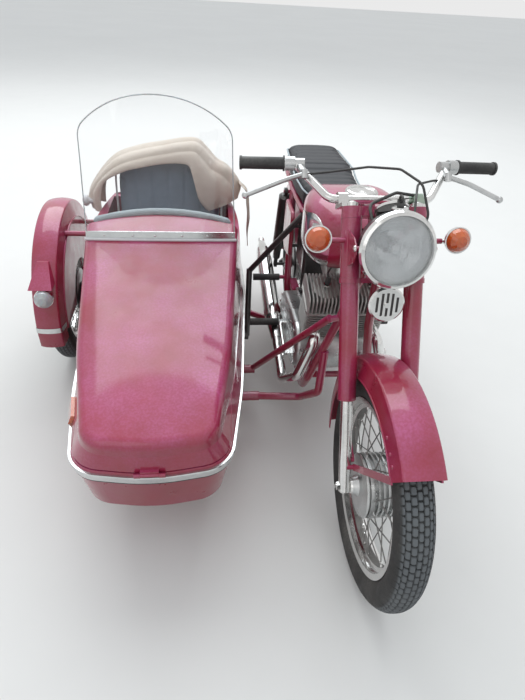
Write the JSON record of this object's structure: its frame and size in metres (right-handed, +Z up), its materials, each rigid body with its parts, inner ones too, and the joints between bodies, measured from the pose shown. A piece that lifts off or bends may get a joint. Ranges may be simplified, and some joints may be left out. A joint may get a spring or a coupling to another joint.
{
  "type": "sidecar motorcycle",
  "caption": "Motorcycle with a boat-shaped passenger sidecar that rolls on three wire wheels; steering, tilting cowl, boot lid and centre stand move.",
  "frame": {"origin": "on the ground under the middle of the machine's bounding box", "axes": "-Y forward, +X to the rider's left, +Z up"},
  "size_m": [1.4742, 2.204, 1.134],
  "materials": {
    "tyre": "matt road tyre",
    "chrome": "chromed, lightly weathered",
    "aluminium": "cast, lightly oxidised",
    "red_paint": "gloss deep red",
    "black_paint": "gloss black",
    "black_leathercloth": "grained",
    "beige_cloth": "coated cloth",
    "rubber": "moulded",
    "amber": "moulded lens",
    "red_lens": "moulded lens",
    "clear_glass": "clear"
  },
  "bodies": {
    "chassis": {"air_box": "black_paint", "carburettor": "aluminium", "chain_case": "black_paint", "cylinders": "aluminium", "engine_cases": "aluminium", "exhausts": "chrome", "foot_levers": "chrome", "foot_pegs": "rubber", "fuel_tank": "red_paint", "main_frame": "black_paint", "marker_lamps": "black_paint", "marker_lens": "clear_glass", "rear_fender": "red_paint", "rear_shocks": "black_paint", "seat": "black_leathercloth", "side_covers": "red_paint", "side_reflector": "amber", "sidecar_arm": "black_paint", "sidecar_fender": "red_paint", "sidecar_frame": "black_paint", "sidecar_hull": "red_paint", "sidecar_seat": "black_leathercloth", "soft_top": "beige_cloth", "swingarm": "black_paint", "tail_lens": "red_lens", "tank_trim": "chrome", "trim_moulding": "chrome"},
    "steering": {"fork_sliders": "chrome", "fork_covers": "red_paint", "fork_yokes": "black_paint", "handlebar": "chrome", "grips": "rubber", "hand_levers": "chrome", "headlamp_shell": "black_paint", "headlamp_rim": "chrome", "headlamp_lens": "clear_glass", "instruments": "chrome", "control_cables": "rubber", "horn": "chrome", "signal_shells": "chrome", "signal_lenses": "amber", "front_fender": "red_paint"},
    "front_wheel_body": {"front_wheel": "chrome", "front_tyre": "tyre"},
    "rear_wheel_body": {"rear_wheel": "chrome", "rear_tyre": "tyre"},
    "sidecar_wheel_body": {"sidecar_wheel": "chrome", "sidecar_tyre": "tyre"},
    "tilting_cowl": {"cowl": "red_paint", "windscreen": "clear_glass", "screen_strip": "chrome", "cowl_roll": "rubber"},
    "boot_lid_body": {"boot_lid": "red_paint"},
    "stand": {"centre_stand": "black_paint"}
  },
  "joints": [
    {"name": "steering_turns", "type": "hinge", "parent": "chassis", "child": "steering", "pos_m": [0.37487, -0.42847, 0.86526], "axis": [0, 0.4695, 0.8829], "range_deg": [-35, 35]},
    {"name": "front_wheel_spins", "type": "hinge", "parent": "steering", "child": "front_wheel_body", "pos_m": [0.37487, -0.78396, 0.3181], "axis": [1, 0, 0], "continuous": true},
    {"name": "rear_wheel_spins", "type": "hinge", "parent": "chassis", "child": "rear_wheel_body", "pos_m": [0.37487, 0.55204, 0.3181], "axis": [1, 0, 0], "continuous": true},
    {"name": "sidecar_wheel_spins", "type": "hinge", "parent": "chassis", "child": "sidecar_wheel_body", "pos_m": [-0.65913, 0.33604, 0.2981], "axis": [1, 0, 0], "continuous": true},
    {"name": "cowl_tilts", "type": "hinge", "parent": "chassis", "child": "tilting_cowl", "pos_m": [-0.22713, -0.79296, 0.4011], "axis": [1, 0, 0], "range_deg": [0, 24]},
    {"name": "boot_lid_opens", "type": "hinge", "parent": "chassis", "child": "boot_lid_body", "pos_m": [-0.22713, 0.73816, 0.60454], "axis": [1, 0, 0], "range_deg": [0, 60]},
    {"name": "centre_stand_swings", "type": "hinge", "parent": "chassis", "child": "stand", "pos_m": [0.37487, 0.11604, 0.1771], "axis": [-1, 0, 0], "range_deg": [0, 50]}
  ]
}
